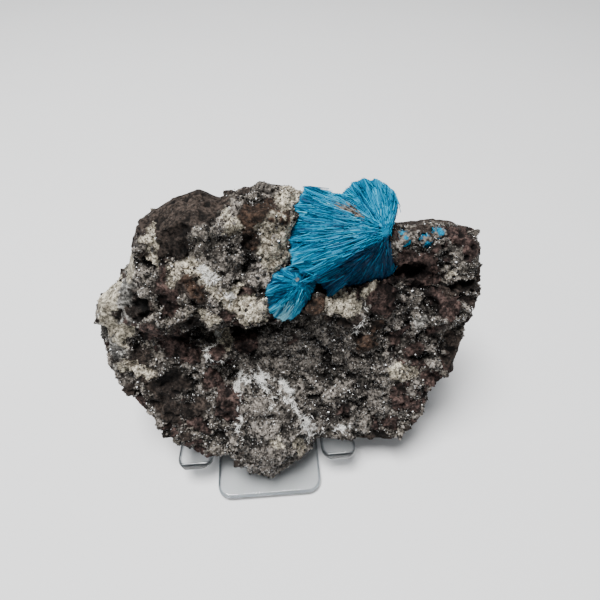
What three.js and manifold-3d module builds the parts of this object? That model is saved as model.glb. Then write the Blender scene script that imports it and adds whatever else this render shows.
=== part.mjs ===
// A cavansite specimen: two joined blue sprays and three small tufts on a slab of basalt
// breccia lined with druse, leaning on a clear easel bent from one sheet.
// Millimetres, +Z up, the viewer on the -Y side. The origin is on the table, under the middle.
// Stone shapes are written in the stone's own frame: x to the right, y up along its face,
// z out of its face.

import * as THREE from 'three';
import { mergeVertices } from 'three/addons/utils/BufferGeometryUtils.js';
import { ImprovedNoise } from 'three/addons/math/ImprovedNoise.js';
import Module from 'manifold-3d';

// Easel
const SHEET = 2.5;
const EASEL_WIDTH = 51;
const TONGUE_WIDTH = 29.8;
const SLIT = 0.6;
const TUCK = 0.06;
const BEND_Y = 31;
const ARM_FRONT_Y = 6.5;
const ARM_RISE = THREE.MathUtils.degToRad(19);
const REST_LEAN = THREE.MathUtils.degToRad(28);
const REST_LENGTH = 50;
const FOOT_Y = 66;
const LOW_BEND_RADIUS = 3.6;
const TOP_BEND_RADIUS = 5;
const BEND_STEP = 0.3;
const CORNER_RADIUS = 4;
const CORNER_STEPS = 5;

// Where along the rest its straight strip begins, and how far the two bent strips run into it
const REST_BEGIN = 6;
const REST_OVERLAP = 9;

// Stone
const STONE_LEAN = REST_LEAN;
const STONE_FOOT = new THREE.Vector3(0.5, 11.7, 4.2);
const STONE_MIDDLE = [5, 38];
const BACK_DEPTH = 16;
const GAP = 0.35;

// The face before its masses: its level, the ledge across its left half, and its broad slopes
const FACE_LEVEL = 5.8;
const LEDGE = { v: 45.5, height: 6.2, steepness: 2.2, fadeFrom: 4, fadeTo: 14 };
const RIGHT_RISE = 2.5;
const LEFT_FALL = 4;
const TROUGH = { at: [12, 33], half: [28, 9], depth: 2.4 };

// The stone's girth: how far the outline draws in towards its front and back
const GIRTH = [
  { w: 17, share: 0.84 }, { w: 9, share: 0.94 }, { w: 3, share: 1 }, { w: -4, share: 1 },
  { w: -10, share: 0.95 }, { w: -16, share: 0.86 }, { w: -24, share: 0.7 },
];

// Mesh fineness
const AROUND = 52;
const FACE_STEP = 3.1;
const BACK_STEP = 7;

// Angular blocks of the breccia: their spacing and how far they step in and out
const BLOCK_SPACING = 8.5;
const BLOCK_STEP = 1.5;
const BLOCK_TILT = 0.16;

// The stone's outline seen square to its face, clockwise from its left tip
const OUTLINE = [
  [-40.5, 50], [-35.8, 55.5], [-31.2, 59.2], [-30, 63.5], [-26.5, 68.5], [-27.2, 71.2], [-21, 73.8],
  [-14.5, 78], [-10, 75.2], [-5, 75.8], [0, 78], [6, 77.5], [12, 74.5], [20, 72], [30, 70],
  [36, 65.5], [41, 66.5], [47, 66.5], [54.5, 65.3], [56.4, 62.8], [55.8, 57], [56.8, 50.5],
  [55.5, 45.5], [54.5, 40], [53.2, 33], [52, 27], [46, 20.5], [44.5, 14.5], [41, 8], [35, 5],
  [26, 6], [15, 7], [0, 7], [-14, 4], [-22.5, 5.5], [-29.3, 12.5], [-33.8, 19], [-38, 28],
  [-40.8, 35.5], [-41.8, 42.5],
];

// Masses that stand out of the face: middle, half sizes, turn about z, facets and roughness
const MASSES = [
  {
    what: 'lower dome', at: [0.8, 13.6, 4], half: [14, 17.6, 10.5], turn: 0.08,
    fine: 4, facets: 34, rough: 1,
  },
  { what: 'dark crest clast', at: [-17, 67.2, 2], half: [9.5, 7.5, 9], turn: 0.2, facets: 12 },
  { what: 'crest behind the nodule', at: [1, 71.5, 1], half: [9, 5.5, 8], turn: -0.1, facets: 14 },
  { what: 'beige nodule', at: [4.5, 66.5, 7], half: [5.4, 6.6, 6], turn: -0.15, facets: 40, rough: 0.7 },
  { what: 'upright clast', at: [-20, 57, 5], half: [3.4, 7, 6], turn: -0.1, facets: 10 },
  { what: 'clast in the cream vein', at: [-13.6, 56.6, 8], half: [6.5, 5.2, 5], turn: -0.5, facets: 11 },
  { what: 'grey nodule', at: [-1.4, 50.6, 9], half: [5, 4.5, 6], turn: 0, facets: 20, rough: 0.4 },
  { what: 'small clasts on the ledge', at: [-9, 49.6, 9], half: [5, 4, 5], turn: 0.3, facets: 12 },
  { what: 'ringed clast', at: [-11, 38.3, 6], half: [4, 4, 4], turn: 0.2, facets: 14 },
  { what: 'red clast', at: [13.4, 51, 9], half: [5.2, 3.4, 5], turn: -0.2, facets: 12 },
  { what: 'pale shelf', at: [21, 49, 5], half: [7.5, 6.4, 6], turn: -0.3, facets: 16 },
  { what: 'brown mass right of the shelf', at: [31, 50.5, 3], half: [4.6, 6.4, 6.5], turn: 0, facets: 12 },
  { what: 'crust right of the spray', at: [32.6, 63.4, 6.4], half: [2.8, 5.2, 5.6], turn: 0.2, facets: 11 },
  { what: 'rust clast', at: [27, 38.2, 4], half: [5, 4, 4.5], turn: 0.4, facets: 11 },
  { what: 'right shoulder', at: [44, 60, 0], half: [11, 6.4, 10], turn: -0.1, facets: 16, rough: 0.8 },
  { what: 'right mass', at: [46, 47, 0], half: [9, 8.5, 10.5], turn: 0.1, facets: 16, rough: 0.8 },
  { what: 'maroon clast beside the dome', at: [-10.5, 22.5, 4], half: [6, 6.5, 5], turn: -0.4, facets: 12 },
  { what: 'left flank', at: [-31, 43, -1], half: [10, 13, 8], turn: -0.15, facets: 18, rough: 0.8 },
  { what: 'lower right edge', at: [38, 18, -2], half: [7.5, 8.5, 8], turn: 0.3, facets: 14, rough: 0.6 },
];

// Hollows in the face: middle, half sizes and turn about z
const HOLLOWS = [
  { what: 'undercut of the ledge', at: [-8, 42, 10], half: [14, 4, 9], turn: 0.04 },
  { what: 'cavity beside the large spray', at: [37.5, 57, 11], half: [4.6, 2.3, 6], turn: 0.1 },
  { what: 'cavity in the right mass', at: [42, 47, 11.5], half: [2.8, 3.8, 5], turn: -0.3 },
  { what: 'crevice across the right mass', at: [51, 52.5, 11], half: [6, 1.5, 5], turn: 0.12 },
  { what: 'vug left of the dome', at: [-24, 29, 10], half: [5.5, 3.8, 5.5], turn: 0.5 },
  { what: 'vug right of the dome', at: [18, 26.5, 10], half: [3.6, 4.6, 6.5], turn: -0.4 },
];

// Druse crystals large enough to count as form, and the oval field they line beside the dome
const DRUSE_COUNT = 34;
const DRUSE_SIZE = [1.3, 2.6];
const DRUSE_FIELD = { at: [8, 32], half: [42, 26], u: [-34, 50], v: [9, 44] };
const DOME_OVAL = { at: [1, 14], half: [14, 17] };

// How far a spray's ridges reach past its grooves at the rim, as a share of their length
const RIM_NOTCH = 0.036;

// The large spray: the point its blades start from, its rim, and its rooted end
const LARGE_SPRAY = {
  apex: [28.5, 68, 15.5],
  rim: [
    [32.4, 70.6, 9.5], [34.4, 74.5, 4], [30.6, 78, 2], [24.5, 78.2, 2], [20.6, 75.6, 5],
    [17, 76.4, 4], [13, 77.8, 3], [10.4, 74, 6.5], [8.4, 70, 9.5], [8.2, 65.5, 12],
    [8.6, 61.5, 13.5], [12.5, 58, 14.2], [15.4, 55.6, 11], [17.6, 51.6, 9.8], [19, 54.4, 8],
    [23, 53.4, 6.6], [28, 54.2, 7], [32.2, 55, 7.4], [32.8, 58.8, 8.2], [30.6, 62.6, 10.8],
    [30, 66.6, 13.6],
  ],
  root: [21, 65, -3],
  bow: 1.1,
  blades: 38,
  rings: 4,
  groove: 0.38,
};
const SMALL_SPRAY = {
  apex: [9.8, 57.4, 15.4],
  rim: [
    [14, 56.6, 11], [12.4, 59.8, 11.5], [8, 60.8, 11.8], [4.4, 59.2, 11.8], [2.4, 56, 12.4],
    [2.3, 52.4, 13], [3.8, 49, 13], [6.6, 48, 13], [9.6, 49.4, 12.8], [12, 52.4, 12.4],
  ],
  root: [9, 55, 2],
  bow: 0.5,
  blades: 18,
  rings: 3,
  groove: 0.3,
};
const TUFTS = [
  { apex: [35, 65.1, 9.4], radius: 1.9 },
  { apex: [40.6, 64.1, 8.6], radius: 1.6 },
  { apex: [44.4, 65.2, 7.2], radius: 1.7 },
];
const TUFT_BLADES = 9;

const wasm = await Module();
wasm.setup();
const grain = new ImprovedNoise();
THREE.MathUtils.seededRandom(17);
const random = () => THREE.MathUtils.seededRandom();
const smooth = THREE.MathUtils.smoothstep;

function toSolid(geometry) {
  const bare = geometry.clone();
  bare.deleteAttribute('normal');
  bare.deleteAttribute('uv');
  const joined = mergeVertices(bare, 1e-4);
  return new wasm.Manifold(new wasm.Mesh({
    numProp: 3,
    vertProperties: new Float32Array(joined.attributes.position.array),
    triVerts: new Uint32Array(joined.index.array),
  }));
}

function toGeometry(solid) {
  const mesh = solid.getMesh();
  const geometry = new THREE.BufferGeometry();
  geometry.setAttribute('position', new THREE.BufferAttribute(mesh.vertProperties, 3));
  geometry.setIndex(new THREE.BufferAttribute(mesh.triVerts, 1));
  geometry.computeVertexNormals();
  return geometry;
}

// Rows of points between two end points, closed round, as one body
function shellOf(first, rows, last) {
  const around = rows[0].length;
  const points = [first, ...rows.flat(), last];
  const end = points.length - 1;
  const at = (row, column) => 1 + row * around + (column % around);
  const index = [];
  for (let column = 0; column < around; column += 1) {
    index.push(0, at(0, column), at(0, column + 1));
    for (let row = 0; row < rows.length - 1; row += 1) {
      index.push(at(row, column), at(row + 1, column), at(row + 1, column + 1));
      index.push(at(row, column), at(row + 1, column + 1), at(row, column + 1));
    }
    index.push(end, at(rows.length - 1, column + 1), at(rows.length - 1, column));
  }
  const geometry = new THREE.BufferGeometry().setFromPoints(points);
  geometry.setIndex(index);
  return geometry;
}

// Two sizes of roughness, the finer one half as strong
function roughness(x, y, z) {
  const coarse = grain.noise(x / 7, y / 7, z / 7);
  const fine = grain.noise(x / 3.1 + 9, y / 3.1, z / 3.1);
  return coarse + 0.5 * fine;
}

// Scattered block middles, each with its own height and tilt
function scatterBlocks() {
  const blocks = [];
  for (let u = -48; u <= 64; u += BLOCK_SPACING) {
    for (let v = -4; v <= 84; v += BLOCK_SPACING) {
      blocks.push({
        u: u + (random() - 0.5) * BLOCK_SPACING,
        v: v + (random() - 0.5) * BLOCK_SPACING,
        lift: (random() - 0.5) * 2 * BLOCK_STEP,
        tiltU: (random() - 0.5) * 2 * BLOCK_TILT,
        tiltV: (random() - 0.5) * 2 * BLOCK_TILT,
      });
    }
  }
  return blocks;
}

function blockHeight(blocks, u, v) {
  const apart = (block) => Math.hypot(block.u - u, block.v - v);
  const block = blocks.reduce((best, other) => (apart(other) < apart(best) ? other : best));
  return block.lift + block.tiltU * (u - block.u) + block.tiltV * (v - block.v);
}

// The face before its masses: an upper shelf over a hollow lower field
function faceHeight(u, v) {
  const side = smooth(u, LEDGE.fadeFrom, LEDGE.fadeTo);
  const ledge = LEDGE.height * smooth(v, LEDGE.v - LEDGE.steepness / 2, LEDGE.v + LEDGE.steepness / 2);
  const rightRise = RIGHT_RISE * smooth(v, 34, 54);
  const leftFall = LEFT_FALL * smooth(-u, 20, 42);
  const [du, dv] = [(u - TROUGH.at[0]) / TROUGH.half[0], (v - TROUGH.at[1]) / TROUGH.half[1]];
  const trough = TROUGH.depth * Math.exp(-(du ** 2) - dv ** 2);
  return FACE_LEVEL + ledge * (1 - side) + rightRise * side - leftFall - trough;
}

function outlineCurve() {
  const points = OUTLINE.map(([u, v]) => new THREE.Vector3(u, v, 0)).reverse();
  return new THREE.CatmullRomCurve3(points, true, 'centripetal');
}

// A slab whose upper or lower side follows a height, for cutting out the stone's two faces
function faceSlab(step, upper, height) {
  const [wide, tall, deep] = [124, 100, 70];
  const [columns, rows] = [Math.round(wide / step), Math.round(tall / step)];
  const geometry = new THREE.BoxGeometry(wide, tall, deep, columns, rows, 1);
  geometry.translate(...STONE_MIDDLE, 0);
  const position = geometry.attributes.position;
  for (let i = 0; i < position.count; i += 1) {
    if (position.getZ(i) > 0 === upper) {
      const [x, y] = [position.getX(i), position.getY(i)];
      const u = x + 0.9 * step * grain.noise(x * 0.9, y * 0.9, 5);
      const v = y + 0.9 * step * grain.noise(x * 0.9, y * 0.9, 8);
      position.setXYZ(i, u, v, height(u, v));
    }
  }
  return toSolid(geometry);
}

function girthBody() {
  const edge = outlineCurve().getSpacedPoints(AROUND).slice(0, AROUND);
  const middle = (w) => new THREE.Vector3(...STONE_MIDDLE, w);
  const rows = GIRTH.map(({ w, share }) => edge.map((point) => {
    const spread = share + 0.02 * roughness(point.x, point.y, 2.5 * w);
    return middle(0).lerp(point, spread).setZ(w + (random() - 0.5) * 2);
  }));
  return toSolid(shellOf(middle(GIRTH[0].w + 3), rows, middle(GIRTH.at(-1).w - 2)));
}

function stoneBody() {
  const frontBlocks = scatterBlocks();
  const backBlocks = scatterBlocks();
  const front = faceSlab(FACE_STEP, true, (u, v) => (
    faceHeight(u, v) + blockHeight(frontBlocks, u, v) + 0.7 * roughness(u, v, 3)
  ));
  const back = faceSlab(BACK_STEP, false, (u, v) => {
    const spread = Math.hypot((u - STONE_MIDDLE[0]) / 60, (v - STONE_MIDDLE[1]) / 50);
    return -BACK_DEPTH + 6 * spread ** 2 + blockHeight(backBlocks, u, v) + roughness(u, v, 60);
  });
  return girthBody().intersect(front).intersect(back);
}

// An angular boulder: a ball flattened by planes at uneven distances, then roughened
function boulder({ at, half, turn, fine = 2, facets = 0, rough = 0 }) {
  const geometry = new THREE.IcosahedronGeometry(1, fine);
  const position = geometry.attributes.position;
  const planes = Array.from({ length: facets }, () => ({
    normal: new THREE.Vector3(random() - 0.5, random() - 0.5, random() - 0.5).normalize(),
    distance: 0.78 + 0.2 * random(),
  }));
  const point = new THREE.Vector3();
  for (let i = 0; i < position.count; i += 1) {
    point.fromBufferAttribute(position, i);
    const cut = planes.reduce((reach, { normal, distance }) => {
      const facing = normal.dot(point);
      return facing > 0 ? Math.min(reach, distance / facing) : reach;
    }, 1.06);
    const [x, y, z] = [point.x * half[0], point.y * half[1], point.z * half[2]];
    const swell = cut + (rough * roughness(x + at[0], y + at[1], z + at[2])) / Math.min(...half);
    position.setXYZ(i, x * swell, y * swell, z * swell);
  }
  geometry.rotateZ(turn);
  geometry.translate(...at);
  return toSolid(geometry);
}

// A pointed eight-faced crystal, sunk half into the face
function druseCrystal(u, v, w) {
  const size = THREE.MathUtils.lerp(...DRUSE_SIZE, random() ** 2);
  const geometry = new THREE.OctahedronGeometry(size);
  geometry.scale(0.75, 0.9, 1.25);
  geometry.rotateX((random() - 0.5) * 1.6);
  geometry.rotateY((random() - 0.5) * 1.6);
  geometry.rotateZ(random() * Math.PI);
  geometry.translate(u, v, w);
  return toSolid(geometry);
}

const isInside = ({ at, half }, u, v) => Math.hypot((u - at[0]) / half[0], (v - at[1]) / half[1]) < 1;

function druse() {
  const crystals = [];
  while (crystals.length < DRUSE_COUNT) {
    const u = THREE.MathUtils.lerp(...DRUSE_FIELD.u, random());
    const v = THREE.MathUtils.lerp(...DRUSE_FIELD.v, random());
    if (isInside(DRUSE_FIELD, u, v) && !isInside(DOME_OVAL, u, v)) {
      crystals.push(druseCrystal(u, v, faceHeight(u, v) + 0.3));
    }
  }
  return wasm.Manifold.union(crystals);
}

// Blades side by side from one point to a rim, each a ridge between two grooves;
// grow widens the body evenly, for the pocket it sits in
function spray({ apex, rim, root, bow, blades, rings, groove }, grow = 0) {
  const start = new THREE.Vector3(...apex);
  const rooted = new THREE.Vector3(...root);
  const corners = rim.map((spot) => new THREE.Vector3(...spot));
  const curve = new THREE.CatmullRomCurve3(corners, true, 'centripetal');
  const tips = curve.getSpacedPoints(2 * blades).slice(0, 2 * blades);
  const swell = (spot) => {
    const away = spot.clone().sub(rooted);
    return spot.addScaledVector(away.normalize(), 1.6 * grow);
  };
  const row = (share) => tips.map((tip, i) => {
    const ridge = i % 2 === 0 ? 1 : -1;
    const reach = share * (1 + (ridge * RIM_NOTCH) / 2);
    const spot = start.clone().lerp(tip, reach);
    spot.z += bow * Math.sin(Math.PI * share) + ridge * groove * share * (grow > 0 ? 0.5 : 1);
    return swell(spot);
  });
  const rows = [];
  for (let k = 1; k <= rings; k += 1) {
    rows.push(row(k / rings));
  }
  const under = tips.map((tip) => {
    const spot = tip.clone().lerp(rooted, 0.35);
    spot.z = Math.min(spot.z, tip.z) - 2.5;
    return swell(spot);
  });
  rows.push(under);
  return toSolid(shellOf(swell(start), rows, rooted.clone().add(new THREE.Vector3(0, 0, -grow))));
}

function tuft({ apex: [u, v, w], radius }, grow = 0) {
  const rim = [0, 1, 2, 3, 4, 5, 6, 7].map((k) => {
    const angle = (k * Math.PI) / 4;
    return [u + radius * Math.cos(angle), v + radius * Math.sin(angle), w - 0.3 * radius];
  });
  const [apex, root] = [[u, v, w + 0.5 * radius], [u, v, w - 3]];
  return spray({ apex, rim, root, bow: 0, blades: TUFT_BLADES, rings: 1, groove: 0.35 }, grow);
}

// Straight runs between corner points in the y-z plane, with a rounded bend at each corner
function bentLine(corners, radii) {
  const points = [corners[0].clone()];
  for (let i = 1; i < corners.length - 1; i += 1) {
    const into = corners[i].clone().sub(corners[i - 1]).normalize();
    const out = corners[i + 1].clone().sub(corners[i]).normalize();
    const turn = Math.atan2(into.cross(out), into.dot(out));
    const side = Math.sign(turn);
    const radius = radii[i - 1];
    const begin = corners[i].clone().addScaledVector(into, -radius * Math.tan(Math.abs(turn) / 2));
    const centre = begin.clone().add(new THREE.Vector2(-into.y, into.x).multiplyScalar(side * radius));
    const steps = Math.max(3, Math.ceil(Math.abs(turn) / BEND_STEP));
    for (let k = 0; k <= steps; k += 1) {
      points.push(begin.clone().rotateAround(centre, (turn * k) / steps));
    }
  }
  points.push(corners.at(-1).clone());
  return points;
}

// A strip of sheet along a bent line, from x0 to x1
function strip(line, thickness, x0, x1) {
  const side = (offset) => line.map((point, i) => {
    const before = line[Math.max(i - 1, 0)];
    const after = line[Math.min(i + 1, line.length - 1)];
    const along = after.clone().sub(before).normalize();
    return point.clone().add(new THREE.Vector2(-along.y, along.x).multiplyScalar(offset));
  });
  const shape = new THREE.Shape([...side(-thickness / 2), ...side(thickness / 2).reverse()]);
  const geometry = new THREE.ExtrudeGeometry(shape, { depth: x1 - x0, bevelEnabled: false });
  const axes = new THREE.Matrix4().makeBasis(
    new THREE.Vector3(0, 1, 0),
    new THREE.Vector3(0, 0, 1),
    new THREE.Vector3(1, 0, 0),
  );
  geometry.applyMatrix4(axes.setPosition(x0, 0, 0));
  return toSolid(geometry);
}

// An upright prism that rounds off the two front corners of a strip
function roundedFront(x0, x1, frontY) {
  const [far, below, tall] = [60, 5, 90];
  const radius = CORNER_RADIUS;
  const shape = new THREE.Shape();
  shape.moveTo(x0, far);
  shape.lineTo(x0, frontY + radius);
  shape.absarc(x0 + radius, frontY + radius, radius, Math.PI, 1.5 * Math.PI, false);
  shape.absarc(x1 - radius, frontY + radius, radius, 1.5 * Math.PI, 2 * Math.PI, false);
  shape.lineTo(x1, far);
  const settings = { depth: tall, bevelEnabled: false, curveSegments: CORNER_STEPS };
  const geometry = new THREE.ExtrudeGeometry(shape, settings);
  geometry.translate(0, 0, -below);
  return toSolid(geometry);
}

const halfSheet = SHEET / 2;
const lowCorner = new THREE.Vector2(BEND_Y, halfSheet);
const restWay = new THREE.Vector2(Math.sin(REST_LEAN), Math.cos(REST_LEAN));
const topCorner = lowCorner.clone().addScaledVector(restWay, REST_LENGTH + TOP_BEND_RADIUS);
const restStart = lowCorner.clone().addScaledVector(restWay, REST_BEGIN);
const restOverlap = lowCorner.clone().addScaledVector(restWay, REST_OVERLAP);
const armHeight = halfSheet + (BEND_Y - ARM_FRONT_Y) * Math.tan(ARM_RISE);
const armFront = new THREE.Vector2(ARM_FRONT_Y, armHeight);
const armInner = TONGUE_WIDTH / 2 + SLIT;

function easel() {
  const legWay = new THREE.Vector2(FOOT_Y, 0).sub(topCorner).normalize();
  const foot = new THREE.Vector2(FOOT_Y, halfSheet * legWay.x);
  const backLine = bentLine([restStart, topCorner, foot], [TOP_BEND_RADIUS]);
  const back = strip(backLine, SHEET, -EASEL_WIDTH / 2, EASEL_WIDTH / 2);
  const tongueStart = new THREE.Vector2(0, halfSheet);
  const tongueLine = bentLine([tongueStart, lowCorner, restOverlap], [LOW_BEND_RADIUS]);
  const tongue = strip(tongueLine, SHEET - 2 * TUCK, -TONGUE_WIDTH / 2, TONGUE_WIDTH / 2)
    .intersect(roundedFront(-TONGUE_WIDTH / 2, TONGUE_WIDTH / 2, 0));
  const armLine = bentLine([armFront, lowCorner, restOverlap], [LOW_BEND_RADIUS]);
  const armOuter = EASEL_WIDTH / 2 - TUCK;
  const arms = [[-armOuter, -armInner], [armInner, armOuter]].map(([x0, x1]) => (
    strip(armLine, SHEET - TUCK, x0, x1).intersect(roundedFront(x0, x1, ARM_FRONT_Y - 0.6))
  ));
  return back.add(tongue).add(arms[0]).add(arms[1]);
}

// The room the stone keeps clear: under the arms' tops, over the tongue and behind the rest's face
function easelRoom() {
  const reach = 26;
  const wide = EASEL_WIDTH / 2 + GAP;
  const thickness = SHEET + 2 * GAP;
  const slab = (line, x0, x1) => {
    const thick = strip(line, thickness, x0, x1);
    return thick.add(thick.translate([0, 0, -2])).add(thick.translate([0, 0, -4]));
  };
  const armLine = bentLine([armFront, lowCorner, restOverlap], [LOW_BEND_RADIUS]);
  const beforeTongue = new THREE.Vector2(-3, halfSheet);
  const tongueLine = bentLine([beforeTongue, lowCorner, restOverlap], [LOW_BEND_RADIUS]);
  const shift = new THREE.Vector2(reach / 2, 0);
  const restLine = [restStart, topCorner].map((point) => point.clone().add(shift));
  const rest = strip(restLine, thickness + reach * Math.cos(REST_LEAN), -wide, wide);
  return slab(armLine, -wide, -armInner + GAP)
    .add(slab(armLine, armInner - GAP, wide))
    .add(slab(tongueLine, -TONGUE_WIDTH / 2 - GAP, TONGUE_WIDTH / 2 + GAP))
    .add(rest);
}

const stoneFrame = new THREE.Matrix4()
  .makeRotationX(Math.PI / 2 - STONE_LEAN)
  .setPosition(STONE_FOOT);

function matrixStone() {
  const room = easelRoom().transform(stoneFrame.clone().invert().toArray());
  const tufts = TUFTS.map((shape) => tuft(shape, GAP));
  const sprays = [spray(LARGE_SPRAY, GAP), spray(SMALL_SPRAY, GAP), ...tufts];
  const whole = wasm.Manifold.union([stoneBody(), ...MASSES.map(boulder), druse()]);
  const cut = wasm.Manifold.union([...HOLLOWS.map(boulder), ...sprays, room]);
  const pieces = whole.subtract(cut).decompose();
  return pieces.reduce((best, piece) => (piece.volume() > best.volume() ? piece : best));
}

const looks = {
  stone: new THREE.MeshStandardMaterial({ color: 0x5b5049, roughness: 0.85, metalness: 0 }),
  spray: new THREE.MeshStandardMaterial({ color: 0x157ba8, roughness: 0.5, metalness: 0 }),
  easel: new THREE.MeshStandardMaterial({
    color: 0xf2f6f7, roughness: 0.08, metalness: 0, transparent: true, opacity: 0.35,
  }),
};

function named(name, solid, material) {
  const mesh = new THREE.Mesh(toGeometry(solid), material);
  mesh.name = name;
  return mesh;
}

const stone = new THREE.Group();
stone.add(named('matrix', matrixStone(), looks.stone));
stone.add(named('cavansite_spray', spray(LARGE_SPRAY).add(spray(SMALL_SPRAY)), looks.spray));
TUFTS.forEach((shape, i) => {
  stone.add(named(`cavansite_tuft_${i + 1}`, tuft(shape), looks.spray));
});
stone.applyMatrix4(stoneFrame);

const group = new THREE.Group();
group.add(stone);
group.add(named('easel', easel(), looks.easel));
group.updateMatrixWorld(true);
const box = new THREE.Box3().setFromObject(group, true);
const middle = box.getCenter(new THREE.Vector3());
group.position.set(-middle.x, -middle.y, -box.min.z);

export default group;
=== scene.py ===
import math

import bmesh
import bpy
import numpy as np
from mathutils import Euler, Matrix, Vector
from mathutils.bvhtree import BVHTree


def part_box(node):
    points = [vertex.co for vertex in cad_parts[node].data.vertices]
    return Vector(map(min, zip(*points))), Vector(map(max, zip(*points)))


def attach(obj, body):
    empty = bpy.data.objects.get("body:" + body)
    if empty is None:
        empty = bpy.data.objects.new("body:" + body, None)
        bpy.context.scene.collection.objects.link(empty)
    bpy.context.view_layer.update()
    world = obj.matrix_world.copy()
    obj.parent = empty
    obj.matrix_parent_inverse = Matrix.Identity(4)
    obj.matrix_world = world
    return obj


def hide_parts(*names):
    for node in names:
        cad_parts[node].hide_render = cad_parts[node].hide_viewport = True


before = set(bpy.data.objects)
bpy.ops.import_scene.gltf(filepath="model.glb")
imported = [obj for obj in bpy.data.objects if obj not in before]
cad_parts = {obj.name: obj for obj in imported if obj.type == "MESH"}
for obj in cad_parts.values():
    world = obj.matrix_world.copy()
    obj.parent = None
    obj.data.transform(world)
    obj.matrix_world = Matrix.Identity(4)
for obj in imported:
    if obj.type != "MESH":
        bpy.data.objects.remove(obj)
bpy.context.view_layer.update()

# The cavansite specimen: a rough slab of basalt breccia with druse, blue radiating sprays,
# and the clear easel it leans on. Blender's units are metres, and MM turns millimetres into them.
# Places on the stone are written in the stone's own frame: u to the right, v up along its face,
# w out of its face.

MM = 0.001

# The easel's own frame: x from its middle, y from the tongue's front edge, z from the table
easel_low, easel_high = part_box("easel")
EASEL_ORIGIN = Vector(((easel_low.x + easel_high.x) / 2, easel_low.y, 0.0))
STONE_LEAN = math.radians(28)
STONE_FOOT = Vector((0.5, 11.7, 4.2)) * MM
STONE_TURN = Matrix.Rotation(math.pi / 2 - STONE_LEAN, 4, "X")
STONE_TO_WORLD = Matrix.Translation(EASEL_ORIGIN + STONE_FOOT) @ STONE_TURN
WORLD_TO_STONE = STONE_TO_WORLD.inverted()

# Camera, from the photograph's 600 pixel frame. Its place is in the easel's own frame.
IMAGE_SIZE = 600
FOCAL_PIXELS = 451
SENSOR = 36
CLIP_START = 5 * MM
CAMERA_PLACE = Vector((5.3, -43.4, 135.6)) * MM
CAMERA_PITCH = math.radians(48.8)
CAMERA_TURN = math.radians(4.3)

# One lamp, in metres and watts, a soft room around it, and a table that reaches this far each way
LAMP_PLACE = Vector((-0.15, -0.03, 0.85))
LAMP_AIM = Vector((0, 0, 0.03))
LAMP_SIZE = 0.36
LAMP_POWER = 17
ROOM_COLOUR = (0.93, 0.96, 1.0, 1.0)
ROOM_STRENGTH = 0.3
TABLE_REACH = 3

# The stone's mesh: the voxel it is remeshed with, how near the easel and the sprays its relief
# begins to fade, and the share of its faces that is left once its back is thinned out
STONE_VOXEL = 0.42 * MM
CLEARANCE = 1.2 * MM
STONE_KEPT = 0.62

# Keeps the noise's whole-numbered places above zero
GRID_SHIFT = 512.0

# The stone's relief in millimetres: the size of each kind of bump or hollow, and how high or deep
# it is. A tilt is a slope.
LUMP_SIZE = 4.2
LUMP_HEIGHT = 0.55
GRIT_SIZE = 1.0
GRIT_HEIGHT = 0.22
BEAD_SPACING = 1.4
BEAD_HEIGHT = 0.45
KNOB_SPACING = 3.4
KNOB_HEIGHT = 0.9
BEAD_SINK = 0.45
CLAST_SPACING = 6.2
CLAST_TILT = 0.2
CLAST_HEIGHT = 0.5
CHIP_SPACING = 2.7
CHIP_TILT = 0.42
VEIN_HEIGHT = 0.35
PIT_SIZE = 2.4
FINE_PIT_SIZE = 0.8
PIT_DEPTH = 1.3
SEAM_DEPTH = 0.5

# How far the patches' edges wander from their drawn places, and how uneven they are
WARP_SIZE = 3.2
WARP_REACH = 1.5
PIT_WARP_SIZE = 2
PIT_WARP_REACH = 2.2
EDGE_SIZE = 0.8
EDGE_REACH = 0.5

# A round bead or knob fills this share of its spacing, and this share of the knobs is left out
BEAD_FILL = 0.62
KNOB_FILL = 0.6
KNOB_GAPS = 0.3

# Clasts between the drawn ones: the share of the random cells that they fill, how much of it the
# druse takes away, and the share that is maroon. A drawn clast's power makes it boxy, as broken
# rock is, and its grain is calmer.
LOOSE_SHARE = 0.62
LOOSE_LOST = 0.5
MAROON_SHARE = 0.3
CLAST_BOXINESS = 4
CLAST_CALM = 0.6

# Where a mask begins and where it is full. Depths are w, and an upright point faces out or up.
FACE_DEPTHS = (-4, 1)
RELIEF_DEPTHS = (-3, 2)
UPRIGHT_FOR_DRUSE = (0.05, 0.45)
UPRIGHT_FOR_RELIEF = (0.2, 0.62)
CLAST_EDGE = (0.5, 1.2)
RAGGED_EDGE = (0.55, 0.9)
CRUST_EDGE = (0.3, 0.6)
PIT_EDGE = (0.86, 1.02)
# Painted shade begins and is full this far down in the relief, in millimetres
SHADED_HOLLOW_DEPTHS = (0.15, 0.95)
# A drawn patch or vein fades out between these shares of its half size
SPOT_EDGE = (0.9, 1.08)
VEIN_EDGE = (0.7, 1.3)

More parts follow.
